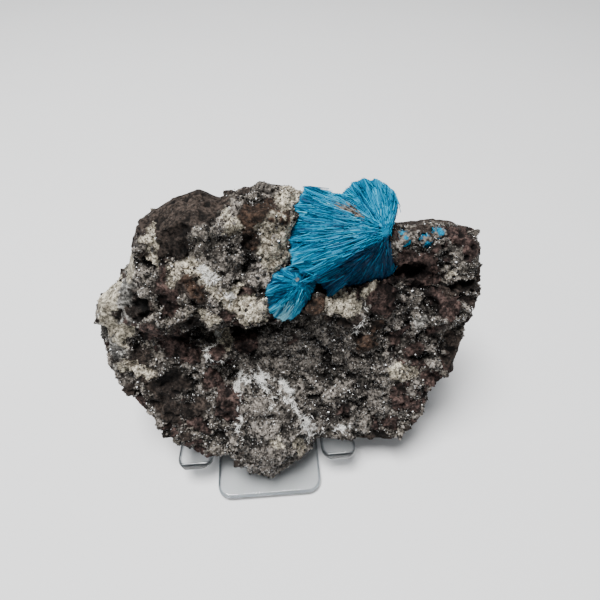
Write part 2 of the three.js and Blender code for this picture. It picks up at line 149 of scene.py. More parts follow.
# Clasts and patches: middle u and v, half sizes, turn in degrees
DARK_CLASTS = [
    (-15.5, 74, 11, 4.6, 15), (-17.6, 69, 4, 6, 0), (-24.7, 28.3, 5.3, 4.3, 20),
    (-26.6, 21, 5, 3.6, -30), (50.4, 51.8, 5, 1.5, 6), (50.4, 33.3, 2.4, 5.6, 5),
    (29.7, 5.4, 4.4, 1.5, 0), (-18.9, 20.8, 4, 3, 20),
]
MAROON_CLASTS = [
    (-19.8, 56.8, 2.5, 6.4, -6), (-26.4, 45.5, 4.4, 3, 0), (-21.9, 39.8, 3.9, 3.4, 20),
    (-9.8, 22.6, 3.6, 4.8, -10), (-4.2, 38.8, 3.3, 3.2, 0), (-18.4, 36.8, 3.2, 2.4, 0),
    (-7.2, 51.2, 2.5, 1.5, -35), (-4.5, 52.4, 2.3, 0.9, 50), (-11, 38.2, 1.7, 1.8, 0),
    (31.1, 50, 3.9, 5.2, 0), (37.7, 59.8, 5, 3, 10), (47, 48, 4.2, 3.6, 0),
    (51.5, 62.4, 2, 3.6, 20), (38.3, 17.5, 4, 2.4, 10), (41.4, 54, 4.3, 2, -8),
    (45, 40, 2.4, 2, 0),
]
BROWN_CLASTS = [
    (2.9, 72.3, 5.8, 3.1, -8), (-1.2, 68, 1.7, 3.6, 10), (-13.8, 57.2, 3, 1.4, -38),
    (13.6, 51.8, 4, 2.3, -18), (27, 38.2, 3.4, 2.4, 20), (30.6, 42.5, 2.2, 1.4, 10),
]
CREAM_SPOTS = [
    (5.6, 66, 4.9, 6.2, -8), (-3.9, 70.7, 2, 2.5, 20), (-5.6, 55.4, 2, 1.8, 0),
    (-1.2, 51, 3.6, 3.4, 0), (-36.2, 53.6, 2.4, 5, -32), (-30, 61.5, 1.8, 4, -10),
    (-22.4, 67, 1.3, 5, 5), (-34.1, 43.3, 1.9, 4.2, -8), (-37.2, 46.3, 2.2, 3.2, 0),
    (-10, 40.4, 2.3, 1.4, -20), (20.8, 50, 5, 3.6, -38), (27, 52.9, 1.1, 2.6, -10),
    (47.2, 55.7, 1.5, 1.5, 0), (8.1, 8.9, 1.5, 4, 10), (2, 12.9, 1.4, 1.4, 0),
    (38, 27.7, 4, 2.6, -10), (-32.9, 33.4, 4.8, 2, -10), (9, 75.9, 3.4, 2.6, 0),
    (-11.7, 50, 2.1, 1.6, 0),
]
# Veins: points along each, then its half width
CREAM_VEINS = [
    ([(-18.6, 60), (-16.4, 61.2), (-12.8, 61.3), (-10, 58.8), (-7.6, 55.2), (-4.8, 52.8)], 1.8),
]
WHITE_VEINS = [
    ([(-11.4, 61), (-9.6, 59.2), (-8.4, 56.4), (-6.4, 54.4)], 0.8),
    ([(-7.4, 24.6), (-7.7, 27), (-5.8, 29.6), (-2.4, 30.2), (0.2, 28.6), (2.2, 26.4), (2.8, 22.4)], 0.6),
    ([(4.2, 27.2), (6.4, 24.8), (8.4, 22), (10.3, 17), (12, 12.4), (11.7, 7.4)], 0.85),
    ([(-6.9, 24), (-6.7, 17), (-6.8, 12)], 0.28),
    ([(12, 12), (17.4, 9.9), (21.7, 12)], 0.5),
    ([(-11.4, 40.6), (-13, 39.6), (-13.2, 37.8), (-12.2, 36.2), (-10.6, 35.7)], 0.32),
    ([(23.4, 41.4), (25.3, 44.2)], 0.6),
    ([(26.6, 48.6), (28.2, 47.4)], 0.6),
]
# Deep places under the ledge, cavities and crevices: dug into the relief, and painted with shade as
# light hardly reaches them
DUG_AND_SHADED_SPOTS = [
    (-10, 43, 13, 2.4, 0), (2, 44, 8, 2.6, 8), (9, 46.5, 6, 1.8, 10), (36.8, 57, 4.6, 1.9, 5),
    (42.4, 47, 2, 3.6, -20), (17.8, 27.5, 2.6, 3, 0), (10.9, 24.6, 1.8, 2, 0),
    (50.6, 52.4, 5, 1.2, 6), (-24, 31, 4, 2, 30), (22, 20, 4, 1.6, -10), (-25.4, 51.6, 1.7, 1.2, 0),
    (-1.5, 66.5, 1.2, 3.6, 5), (32, 54, 1.6, 2.4, 0), (-16, 46.4, 5, 1.6, 0), (21, 44.6, 3, 1.2, -40),
]
# Grey druse covers these, and elsewhere clasts lie in a pale crust
DRUSE_FIELDS = [
    (8, 34, 24, 9, 0), (24, 24, 20, 14, -20), (-3, 60, 8.5, 8, 0), (2, 14, 12.5, 15, 0),
    (40, 62, 9, 3.4, -5), (37, 36, 12, 8, 0), (-21, 30, 8, 8, 0),
]

# The lower dome: even grey druse without deep pits
DOME = [(1.5, 15.5, 11, 14, 0)]
# Smoother glassy crust at the left end, grey and cream
GLASSY_SPOTS = [
    (-34.6, 50, 5.4, 11, -24), (-30.5, 62, 2.4, 5.4, -12), (-37.5, 40, 2.6, 7, 0),
    (39.9, 42.2, 2, 1.4, 0),
]

# What stands on the stone: the piece's name, the mask it grows in and its seed, its shape and
# finish, how many there are to a square millimetre, the smallest and largest size in millimetres,
# and how far they lean in radians
CRYSTALS = [
    ("druse_grains", "druse", 71, "grain", "grey", 3.0, 0.12, 0.38, 1.0),
    ("druse_prisms", "druse", 75, "prism", "grey", 0.3, 0.3, 0.74, 0.7),
    ("druse_sparkles", "druse", 77, "grain", "clear", 0.6, 0.08, 0.24, 1.2),
    ("druse_cream", "frost", 81, "grain", "cream", 3.4, 0.12, 0.36, 1.1),
    ("vein_fibres", "white", 91, "needle", "white", 12, 0.4, 1.6, 1.35),
]

# The clear sheet: how far its edges are rounded, the least area of a face that is flat, and the
# turn between two faces from which the edge between them is rounded
SHEET_ROUNDING = 0.85 * MM
FLAT_FACE_AREA = 100 * MM ** 2
SHARP_EDGE = math.radians(60)
# Where the sheet's strips meet: from and to along y, and how high, in the easel's own frame
LOW_BEND = (27 * MM, 38 * MM, 12 * MM)

# Points that the blue blades start from, in the stone's frame, and where the small spray lies
LARGE_SPRAY_HEART = (28.5, 68, 13.5)
SMALL_SPRAY_HEART = (9.8, 57.2, 13.6)
SMALL_SPRAY_MIDDLE = (7, 54)
SMALL_SPRAY_RADIUS = 8.2
SMALL_SPRAY_TOP = SMALL_SPRAY_HEART[1] + 3
# How deep a blue the small spray is, and how much darker its folds are painted, as shade
SMALL_SPRAY_DEPTH = 0.34
SMALL_SPRAY_FOLD_SHADE = 1.6
# The large spray's ridge, below which its blades turn down and are painted darker, as shade
RIDGE_END = (12, 60)
RIDGE_EDGE = (0.2, 1.8)
RIDGE_FADE = (12, 17)
# How far from the heart the tips turn pale, in millimetres
SMALL_SPRAY_TIPS = (6.5, 10.5)
LARGE_SPRAY_TIPS = (21, 26)

# The sprays' mesh: its voxel, and how many rounds of smoothing it gets
SPRAY_VOXEL = 0.26 * MM
SPRAY_WEAR = 14

# The sprays' streaks and folds follow the blades: how fine the streaks are around the heart, how
# little they change outwards, how broad the folds are, how high both are in millimetres, and how
# far from the heart they reach that height
STREAKS = 26
RAY_STRETCH = 0.16
FOLDS = 4.5
STREAK_HEIGHT = 0.2
FOLD_HEIGHT = 0.24
FLAT_HEART = 6

# Blades: how many on each square metre of the body, how wide, the longest one, and their share of it
BLADE_DENSITY = 8 / MM ** 2
BLADE_WIDTH = 0.085 * MM
BLADE_REACH = 6 * MM
BLADE_SHARES = (0.3, 0.95)
BLADE_SPLAY = math.radians(3)
# Blades lie along a face that looks less than this towards or away from them, and none grow on a
# face that looks back at the heart
LIES_FLAT = 0.6
FACES_BACK = -0.2

# The three tufts: how pale each is, how far from its heart it is blue, how far under it the heart
# lies, and its blades
TUFT_VOXEL = 0.25 * MM
TUFT_SHADES = [0.75, 0.25, 0.6]
TUFT_REACH = 2.4
TUFT_SINK = 1.2
TUFT_CRUST = (0.8, 0.92)
TUFT_BLADE_DENSITY = 7 / MM ** 2
TUFT_BLADE_WIDTH = 0.08 * MM
TUFT_BLADE_REACH = 2 * MM
TUFT_BLADE_SHARES = (0.35, 0.8)
TUFT_BLADE_SPLAY = math.radians(35)

# Grey crust on the blue, as the other patches
CRUST_ON_BLUE = [(20.8, 73.4, 1.7, 0.9, -8), (18.4, 74.4, 0.8, 0.5, 0), (9.3, 58.6, 0.5, 0.4, 0)]

# The materials' noise, in features to a metre
BROAD_NOISE = 130
PATCH_NOISE = 420
GRAIN_NOISE = 1250
SPECK_NOISE = 2800
CRYSTAL_NOISE = 160
BLUE_NOISE = 230
BLUE_CRUST_NOISE = 900
MARKS_NOISE = 60
TABLE_NOISE = 9

# How strongly surfaces shine, how clear the sheet is, and bumps: strength, then millimetres
DULL_SHINE = 0.14
CRYSTAL_SHINE = 0.55
FIBRE_SHINE = 0.4
SHEET_CLEARNESS = 0.96
SHEET_IOR = 1.49
STONE_BUMP = (1.0, 0.9)
BLADE_BUMP = (0.6, 0.3)

# The darkest and the palest colour of each finish
DRUSE_COLOURS = ((0.02, 0.017, 0.015), (0.2, 0.178, 0.155))
CRUST_COLOURS = ((0.03, 0.025, 0.021), (0.21, 0.187, 0.157))
BASALT_COLOURS = ((0.007, 0.0052, 0.0045), (0.056, 0.042, 0.034))
MAROON_COLOURS = ((0.012, 0.0075, 0.0066), (0.078, 0.05, 0.043))
BROWN_COLOURS = ((0.01, 0.0062, 0.0042), (0.062, 0.038, 0.026))
GLASSY_COLOURS = ((0.065, 0.06, 0.055), (0.4, 0.385, 0.355))
CREAM_COLOURS = ((0.14, 0.12, 0.092), (0.54, 0.49, 0.38))
GREY_CRYSTAL_COLOURS = ((0.009, 0.0075, 0.0065), (0.235, 0.212, 0.188))
CREAM_CRYSTAL_COLOURS = ((0.09, 0.07, 0.05), (0.6, 0.54, 0.43))
# The sparkles are clear crystals, and their pale colour is a painted glint
GLINT_CRYSTAL_COLOURS = ((0.35, 0.34, 0.33), (0.95, 0.95, 0.95))
FIBRE_COLOURS = ((0.6, 0.58, 0.53), (0.95, 0.95, 0.93))
BLUE_CRUST_COLOURS = ((0.022, 0.017, 0.014), (0.24, 0.215, 0.185))
TABLE_COLOURS = ((0.77, 0.77, 0.77), (0.82, 0.82, 0.82))
VEIN_COLOUR = (0.74, 0.73, 0.7)
# The painted glints on the stone
PAINTED_GLINT_COLOUR = (0.62, 0.59, 0.55)
PALE_TIP_COLOUR = (0.22, 0.5, 0.58)
# The clear sheet's tint on its faces, and the shade painted along its edges
SHEET_TINT_AND_EDGE_SHADE = ((0.88, 0.895, 0.9), (0.22, 0.25, 0.28))
# Blue from dark to pale: the depths between the blades, painted as shade, to the ridges along them,
# painted as sheen
BLUE_STOPS = [
    (0.08, (0.0, 0.02, 0.055)), (0.3, (0.0, 0.07, 0.15)), (0.5, (0.0, 0.16, 0.29)),
    (0.7, (0.0, 0.28, 0.45)), (1.0, (0.2, 0.68, 0.82)),
]


class Desk:
    """Adds nodes to one node tree: type, settings first, then socket values or links."""

    def __init__(self, tree):
        self.tree = tree

    def add(self, kind, settings=None, inputs=None):
        node = self.tree.nodes.new(kind)
        for key, value in (settings or {}).items():
            if key == "stops":
                self.set_stops(node.color_ramp, value)
            else:
                setattr(node, key, value)
        for key, value in (inputs or {}).items():
            self.join(value, node.inputs[key])
        return node

    def set_stops(self, ramp, stops):
        while len(ramp.elements) < len(stops):
            ramp.elements.new(0.5)
        for element, (place, colour) in zip(ramp.elements, stops):
            element.position = place
            element.color = (*colour, 1.0)

    def join(self, value, socket):
        if isinstance(value, Level):
            value = value.socket
        if isinstance(value, bpy.types.NodeSocket):
            self.tree.links.new(value, socket)
        else:
            socket.default_value = value

    def level(self, kind, settings=None, inputs=None, output=0):
        return Level(self, self.add(kind, settings, inputs).outputs[output])

    def attribute(self, name):
        return self.level("ShaderNodeAttribute", {"attribute_name": name}, output="Fac")

    def noise(self, place, scale, detail=4.0, roughness=0.55):
        inputs = {"Vector": place, "Scale": scale, "Detail": detail, "Roughness": roughness}
        return self.level("ShaderNodeTexNoise", {}, inputs, "Fac")

    def between(self, value, low, high):
        inputs = {"Value": value, "From Min": low, "From Max": high}
        return self.level("ShaderNodeMapRange", {"interpolation_type": "SMOOTHSTEP"}, inputs)

    def scaled(self, colour, level):
        """The colour made darker or lighter by a number."""
        node = self.add("ShaderNodeVectorMath", {"operation": "SCALE"}, {"Scale": level})
        self.join(colour, node.inputs[0])
        return node.outputs[0]

    def blend(self, factor, first, second):
        node = self.add("ShaderNodeMix", {"data_type": "RGBA"})
        self.join(factor, node.inputs[0])
        for value, socket in ((first, node.inputs[6]), (second, node.inputs[7])):
            self.join((*value, 1.0) if isinstance(value, tuple) else value, socket)
        return node.outputs[2]


class Level:
    """A number that varies over a surface: a socket that Python's operators work on."""

    def __init__(self, desk, socket):
        self.desk = desk
        self.socket = socket

    def maths(self, operation, first, second):
        return self.desk.level("ShaderNodeMath", {"operation": operation}, {0: first, 1: second})

    def __add__(self, other):
        return self.maths("ADD", self, other)

    def __radd__(self, other):
        return self.maths("ADD", other, self)

    def __sub__(self, other):
        return self.maths("SUBTRACT", self, other)

    def __rsub__(self, other):
        return self.maths("SUBTRACT", other, self)

    def __mul__(self, other):
        return self.maths("MULTIPLY", self, other)

    def __rmul__(self, other):
        return self.maths("MULTIPLY", other, self)


def new_material(name):
    material = bpy.data.materials.new(name)
    material.use_nodes = True
    material.node_tree.nodes.clear()
    return material, Desk(material.node_tree)


def finish_material(material, desk, colour, roughness, constants, height=None, bump=None):
    """One Principled shader, with a bump if a height is given."""
    inputs = {"Base Color": colour, "Roughness": roughness}
    inputs.update(constants)
    if height is not None:
        strength, distance = bump
        lift = {"Height": height, "Strength": strength, "Distance": distance * MM}
        inputs["Normal"] = desk.add("ShaderNodeBump", {}, lift).outputs[0]
    shader = desk.add("ShaderNodeBsdfPrincipled", {}, inputs)
    desk.add("ShaderNodeOutputMaterial", {}, {"Surface": shader.outputs[0]})
    return material


def breccia_material():
    """Dark clasts in a pale crust, grey druse, cream patches and white veins, from the stone's masks.
    Each finish turns from its darkest colour to its palest between two levels of the noise. Shade is
    painted into pits, seams and low places, and glints as pale flecks."""
    material, desk = new_material("basalt_breccia")
    place = desk.add("ShaderNodeTexCoord").outputs["Object"]
    clast = desk.attribute("clast")
    shade = desk.attribute("shade")
    hollow = desk.attribute("hollow")
    broad = desk.noise(place, BROAD_NOISE, 4)
    patch = desk.noise(place, PATCH_NOISE, 5, 0.65)
    grain = desk.noise(place, GRAIN_NOISE, 4, 0.65)
    speck = desk.noise(place, SPECK_NOISE, 2)
    tone = 0.4 * broad + 0.4 * patch + 0.2 * desk.attribute("knob")
    tone = tone + 0.03 * desk.attribute("dome")
    colour = desk.blend(desk.between(tone, 0.36, 0.68), *DRUSE_COLOURS)
    layers = [
        ("crust", desk.between(patch, 0.36, 0.68), CRUST_COLOURS),
        ("clast", 0.5 * shade + 0.8 * (patch - 0.3), BASALT_COLOURS),
        ("maroon", desk.between(patch, 0.35, 0.7), MAROON_COLOURS),
        ("brown", desk.between(patch, 0.35, 0.7), BROWN_COLOURS),
        ("glassy", desk.between(0.5 * broad + 0.5 * patch, 0.36, 0.62), GLASSY_COLOURS),
        ("cream", desk.between(patch, 0.3, 0.66), CREAM_COLOURS),
    ]
    for mask, level, colours in layers:
        colour = desk.blend(desk.attribute(mask), colour, desk.blend(level, *colours))
    vein = desk.attribute("white") * desk.between(grain, 0.36, 0.56)
    colour = desk.blend(vein, colour, VEIN_COLOUR)
    # Grain makes the stone lighter or darker, and painted shade darkens its pits, seams and low places
    light = (0.25 + 1.6 * desk.between(grain, 0.36, 0.66)) * (1 - 0.93 * hollow)
    colour = desk.scaled(colour, light)
    # Pale flecks are painted glints of crystal faces, also glossier, and none fall in painted shade
    painted_glints = desk.between(speck, 0.66, 0.75) * (1 - 0.5 * clast) * (1 - hollow)
    colour = desk.blend(0.5 * painted_glints, colour, PAINTED_GLINT_COLOUR)
    height = 0.5 * patch + 0.35 * grain + 0.15 * speck
    constants = {"Specular IOR Level": DULL_SHINE}
    return finish_material(material, desk, colour, 0.8 - 0.5 * painted_glints, constants, height, STONE_BUMP)


def crystal_material(name, colours, roughness, painted_shade_share=0.72):
    """Small glassy crystals, each lighter or darker than its neighbours, with shade painted on them in
    deep places by the given share."""
    material, desk = new_material(name)
    shade = desk.attribute("shade")
    place = desk.add("ShaderNodeTexCoord").outputs["Object"]
    value = shade * shade + 0.8 * (desk.noise(place, CRYSTAL_NOISE) - 0.5)
    light = 1 - painted_shade_share * desk.attribute("hollow")
    colour = desk.scaled(desk.blend(desk.between(value, 0.05, 0.85), *colours), light)
    return finish_material(material, desk, colour, roughness, {"Specular IOR Level": CRYSTAL_SHINE})


def cavansite_material():
    """Silky blue blades in their own varied tones, paler along the ridges as painted sheen and darker
    between them as painted shade, with shade also painted under the large spray's ridge and in the small
    spray's folds.
    """
    material, desk = new_material("cavansite_blue")
    shade = desk.attribute("shade")
    deep = desk.attribute("deep")
    streak = desk.attribute("streak")
    place = desk.add("ShaderNodeTexCoord").outputs["Object"]
    rays = desk.add("ShaderNodeAttribute", {"attribute_name": "ray"}).outputs["Vector"]
    fine = desk.between(desk.noise(rays, 1.1, 3, 0.75), 0.34, 0.66)
    broad = desk.noise(place, BLUE_NOISE, 3)
    # The streaks paint sheen on ridges and shade in grooves; the depth mask paints shade and deeper blue
    value = 0.5 * shade + 0.24 * streak + 0.34 * fine + 0.36 * broad - 0.25 - 0.36 * deep
    ramp = desk.add("ShaderNodeValToRGB", {"stops": BLUE_STOPS}, {"Fac": value})
    crust = desk.blend(desk.between(desk.noise(place, BLUE_CRUST_NOISE), 0.35, 0.65), *BLUE_CRUST_COLOURS)
    colour = desk.blend(desk.attribute("frosted"), ramp.outputs[0], PALE_TIP_COLOUR)
    colour = desk.blend(desk.attribute("crusted"), colour, crust)
    constants = {"Specular IOR Level": DULL_SHINE}
    return finish_material(material, desk, colour, 0.5, constants, fine, BLADE_BUMP)


def fibre_material():
    """White fibres, each a little brighter or duller than its neighbours."""
    material, desk = new_material("white_fibre")
    colour = desk.blend(desk.attribute("shade"), *FIBRE_COLOURS)
    return finish_material(material, desk, colour, 0.55, {"Specular IOR Level": FIBRE_SHINE})


def clear_material():
    """Polished clear sheet with faint handling marks in its gloss, and shade painted along its edges."""
    material, desk = new_material("clear_sheet")
    place = desk.add("ShaderNodeTexCoord").outputs["Object"]
    marks = desk.between(desk.noise(place, MARKS_NOISE, 3), 0.4, 0.8)
    rim = desk.attribute("rim")
    colour = desk.blend(rim, *SHEET_TINT_AND_EDGE_SHADE)
    constants = {"Transmission Weight": SHEET_CLEARNESS, "IOR": SHEET_IOR}
    return finish_material(material, desk, colour, 0.04 + 0.06 * marks + 0.12 * rim, constants)


def floor_material():
    material, desk = new_material("pale_table")
    place = desk.add("ShaderNodeTexCoord").outputs["Object"]
    colour = desk.blend(desk.noise(place, TABLE_NOISE, 3), *TABLE_COLOURS)
    return finish_material(material, desk, colour, 0.8, {})


def smooth_noise(points, size, seed):
    """Smooth random values from 0 to 1, with bumps of the given size."""
    grid = points / size + GRID_SHIFT
    cell = np.floor(grid).astype(np.int64)
    part = grid - cell
    part = part * part * (3 - 2 * part)
    total = np.zeros(len(points))
    for corner in np.ndindex(2, 2, 2):
        weight = np.prod(np.where(corner, part, 1 - part), axis=1)
        total += weight * lattice_values(cell + corner, seed)
    return total


def noise_arrows(points, size, seed):
    """Smooth random arrows, each of their three parts from -0.5 to 0.5."""
    return np.stack([smooth_noise(points, size, seed + axis) - 0.5 for axis in range(3)], axis=1)


def lattice_values(cell, seed):
    """One random value from 0 to 1 for each whole-numbered place."""
    mixed = cell[:, 0] * 73856093 ^ cell[:, 1] * 19349663 ^ cell[:, 2] * 83492791 ^ (seed * 2654435761)
    mixed = (mixed ^ (mixed >> 13)) * 1274126177 & 0xFFFFFFFF
    mixed = (mixed ^ (mixed >> 16)) & 0xFFFF
    return mixed / 65535.0


def nearest_cells(points, spacing, seed):
    """Distances to the nearest and second nearest scattered middle, the nearest one's own value,
    and how far along its own random slant each point lies."""
    grid = points / spacing + GRID_SHIFT
    cell = np.floor(grid).astype(np.int64)
    first = np.full(len(points), 9.0)
    second = np.full(len(points), 9.0)
    own = np.zeros(len(points))
    slant = np.zeros(len(points))
    for step in np.ndindex(3, 3, 3):
        spot = cell + np.array(step) - 1
        offset = np.stack([lattice_values(spot, seed + axis) for axis in range(3)], axis=1)
        away = grid - spot - offset
        apart = np.linalg.norm(away, axis=1)
        way = np.stack([lattice_values(spot, seed + axis) for axis in (3, 4, 5)], axis=1) - 0.5
        closer = apart < first
        second = np.where(closer, first, np.minimum(second, apart))
        own = np.where(closer, lattice_values(spot, seed + 7), own)
        slant = np.where(closer, np.sum(away * way, axis=1) * 2, slant)
        first = np.where(closer, apart, first)
    return first * spacing, second * spacing, own, slant * spacing


def soft_step(values, low, high):
    share = np.clip((values - low) / (high - low), 0, 1)
    return share * share * (3 - 2 * share)


def spot_mask(places, spots, wobble, power=2):
    """1 inside any of the turned ovals, 0 outside, with an uneven edge. A higher power is boxier."""
    mask = np.zeros(len(places))
    for u, v, half_u, half_v, turn in spots:
        angle = math.radians(turn)
        du, dv = places[:, 0] - u, places[:, 1] - v
        across = (du * math.cos(angle) + dv * math.sin(angle)) / half_u
        up = (dv * math.cos(angle) - du * math.sin(angle)) / half_v
        reach = (np.abs(across) ** power + np.abs(up) ** power) ** (1 / power) + wobble
        mask = np.maximum(mask, 1 - soft_step(reach, *SPOT_EDGE))
    return mask


def vein_mask(places, veins, wobble):
    mask = np.zeros(len(places))
    for points, half_width in veins:
        for start, end in zip(points, points[1:]):
            start, end = np.array(start, float), np.array(end, float)
            run = end - start
            share = np.clip(((places[:, :2] - start) @ run) / (run @ run), 0, 1)
            apart = np.linalg.norm(places[:, :2] - start - share[:, None] * run, axis=1)
            mask = np.maximum(mask, 1 - soft_step(apart / half_width + wobble, *VEIN_EDGE))
    return mask


def coordinates(mesh):
    values = np.empty(len(mesh.vertices) * 3)
    mesh.vertices.foreach_get("co", values)
    return values.reshape(-1, 3)


def vertex_normals(mesh):
    values = np.empty(len(mesh.vertices) * 3)
    mesh.vertex_normals.foreach_get("vector", values)
    return values.reshape(-1, 3)


def to_stone(points):
    """World metres to the stone's frame in millimetres."""
    turn = np.array(WORLD_TO_STONE.to_3x3())
    return (points @ turn.T + np.array(WORLD_TO_STONE.translation)) / MM


def stone_point(u, v, w):
    return STONE_TO_WORLD @ (Vector((u, v, w)) * MM)


def write_mask(mesh, name, values):
    attribute = mesh.attributes.new(name, "FLOAT", "POINT")
    attribute.data.foreach_set("value", values.astype(np.float32))


def write_arrows(mesh, name, values):
    attribute = mesh.attributes.new(name, "FLOAT_VECTOR", "POINT")
    attribute.data.foreach_set("vector", values.astype(np.float32).ravel())


def merged_copy(node, name):
    """A copy of a CAD node's mesh with its loose triangles joined."""
    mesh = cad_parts[node].data.copy()
    mesh.materials.clear()
    build = bmesh.new()
    build.from_mesh(mesh)
    bmesh.ops.remove_doubles(build, verts=build.verts, dist=1e-6)
    build.to_mesh(mesh)
    build.free()
    piece = bpy.data.objects.new(name, mesh)
    bpy.context.scene.collection.objects.link(piece)
    return piece


def apply_modifiers(piece):
    """Turns what the piece's modifiers make into its plain mesh."""
    graph = bpy.context.evaluated_depsgraph_get()
    result = bpy.data.meshes.new_from_object(
        piece.evaluated_get(graph), preserve_all_data_layers=True, depsgraph=graph,
    )
    piece.modifiers.clear()
    piece.data = result
    return piece


def remeshed(piece, voxel, rounds=0):
    """The piece's form in even small faces, worn a little smoother by each round."""
    remesh = piece.modifiers.new("remesh", "REMESH")
    remesh.mode = "VOXEL"
    remesh.voxel_size = voxel
    if rounds:
        wear = piece.modifiers.new("wear", "SMOOTH")
        wear.factor = 0.5
        wear.iterations = rounds
    return apply_modifiers(piece)


def shade_smooth(mesh):
    mesh.polygons.foreach_set("use_smooth", [True] * len(mesh.polygons))


def room_before(nodes, points, reach):
    """0 where a point touches one of the CAD nodes, 1 where it is at least reach away."""
    room = np.ones(len(points))
    for node in nodes:
        copy = merged_copy(node, "probe")
        tree = BVHTree.FromPolygons(
            [vertex.co for vertex in copy.data.vertices],
            [tuple(face.vertices) for face in copy.data.polygons],
        )
        low, high = (np.array(corner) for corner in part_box(node))
        close = np.all((points > low - reach) & (points < high + reach), axis=1)
        for i in np.flatnonzero(close):
            apart = tree.find_nearest(Vector(points[i]), reach)[3]
            if apart is not None:
                room[i] = min(room[i], apart / reach)
        bpy.data.objects.remove(copy)
    return room


def stone_masks(places, facing):
    """What each point of the stone is made of, from 0 to 1, then the clasts' own relief, and how
    calm the grain is on them."""
    warp = 2 * noise_arrows(places, WARP_SIZE, 11) + noise_arrows(places, WARP_SIZE / 3, 14)
    moved = places + WARP_REACH * warp
    rough = EDGE_REACH * (smooth_noise(places, EDGE_SIZE, 4) - 0.5)
    near, next_near, kind, slant = nearest_cells(moved, CLAST_SPACING, 21)
    front = soft_step(places[:, 2], *FACE_DEPTHS)
    field = spot_mask(moved, DRUSE_FIELDS, rough)
    edge = soft_step(next_near - near, *CLAST_EDGE)
    loose = edge * (kind < LOOSE_SHARE - LOOSE_LOST * field)
    dark, brown, maroon = (
        spot_mask(moved, spots, 0.45 * rough + 0.04, CLAST_BOXINESS)
        for spots in (DARK_CLASTS, BROWN_CLASTS, MAROON_CLASTS)
    )
    maroon = np.maximum(maroon, loose * (kind < MAROON_SHARE)) * (1 - brown) * (1 - dark)
    cream = spot_mask(moved, CREAM_SPOTS, rough)
    cream = np.maximum(cream, vein_mask(moved, CREAM_VEINS, rough)) * front
    ragged = smooth_noise(places, 1.4, 17) + 0.5 * smooth_noise(places, 0.6, 18)
    white = vein_mask(moved, WHITE_VEINS, rough) * front * soft_step(ragged, *RAGGED_EDGE)
    glassy = spot_mask(moved, GLASSY_SPOTS, rough) * front
    bare = (1 - cream) * (1 - white)
    clast = np.maximum.reduce([loose, dark, maroon, brown, 1 - front]) * bare
    crust = (1 - clast) * (1 - field) * bare * soft_step(smooth_noise(places, 5, 19), *CRUST_EDGE)
    druse = (1 - clast) * (1 - 0.75 * cream) * (1 - white) * front * (1 - 0.8 * glassy) * facing
    masks = {
        "clast": clast,
        "maroon": maroon * bare,
        "brown": brown * bare,
        "cream": cream,
        "white": white,
        "glassy": glassy * (1 - clast),
        "dome": spot_mask(moved, DOME, rough) * (1 - clast),
        "crust": crust,
        "druse": druse,
        "frost": cream * (1 - 0.85 * glassy),
        "shade": kind,
    }
    calm = np.maximum(dark, 0.6 * np.maximum(brown, maroon * bare)) * bare
    return masks, CLAST_TILT * slant * edge + CLAST_HEIGHT * clast, calm


def stone_beads(places):
    """The height of the round beads and the larger knobs, and each knob's own value from 0 to 1."""
    bead = nearest_cells(places, BEAD_SPACING, 31)[0]
    knob, _, knob_kind, _ = nearest_cells(places, KNOB_SPACING, 51)
    beads = BEAD_HEIGHT * np.clip(1 - (bead / (BEAD_FILL * BEAD_SPACING)) ** 2, 0, 1)
    knobs = KNOB_HEIGHT * np.clip(1 - (knob / (KNOB_FILL * KNOB_SPACING)) ** 2, 0, 1)
    return beads + knobs * (knob_kind > KNOB_GAPS), knob_kind


def stone_pits(places, masks, front):
    """How much of a pit or a crevice each point lies in, from 0 to 1."""
    wander = places + PIT_WARP_REACH * noise_arrows(places, PIT_WARP_SIZE, 61)
    deep = smooth_noise(wander, PIT_SIZE, 8) + 0.3 * smooth_noise(places, FINE_PIT_SIZE, 9)
    drawn = spot_mask(wander, DUG_AND_SHADED_SPOTS, smooth_noise(places, 1, 66) - 0.5)
    pits = np.maximum(soft_step(deep, *PIT_EDGE), 0.8 * drawn)
    return pits * ((1 - masks["cream"]) * (1 - masks["white"]) * (1 - 0.8 * masks["dome"]) * front)


def stone_relief(places, upright):
    """The stone's masks, and how far each point is moved out along its normal, in millimetres."""
    facing = 0.12 + 0.88 * soft_step(upright, *UPRIGHT_FOR_DRUSE)
    masks, clasts, calm = stone_masks(places, facing)
    front = soft_step(places[:, 2], *RELIEF_DEPTHS)
    beads, masks["knob"] = stone_beads(places)
    chip = nearest_cells(places, CHIP_SPACING, 35)[3]
    height = LUMP_HEIGHT * 2 * (smooth_noise(places, LUMP_SIZE, 5) - 0.5) + clasts
    height += GRIT_HEIGHT * 2 * (smooth_noise(places, GRIT_SIZE, 6) - 0.5)
    height += CHIP_TILT * chip * (0.4 + 0.6 * masks["clast"])
    height += beads * np.maximum(masks["druse"], masks["frost"]) - BEAD_SINK
    height += VEIN_HEIGHT * masks["white"]
    pits = stone_pits(places, masks, front)
    seam = 4 * masks["clast"] * (1 - masks["clast"]) * front
    height -= PIT_DEPTH * pits + SEAM_DEPTH * seam
    # Pits, low places and the clasts' seams get painted shade, less of it on cream
    low = soft_step(-height, *SHADED_HOLLOW_DEPTHS) * (0.88 - 0.5 * masks["cream"])
    masks["hollow"] = np.maximum.reduce([pits, low, 0.75 * seam])
    height *= 1 - CLAST_CALM * calm
    outward = 0.22 + 0.78 * soft_step(upright, *UPRIGHT_FOR_RELIEF)
    height *= (0.35 + 0.65 * front) * outward * (1 - 0.72 * masks["glassy"])
    return masks, height


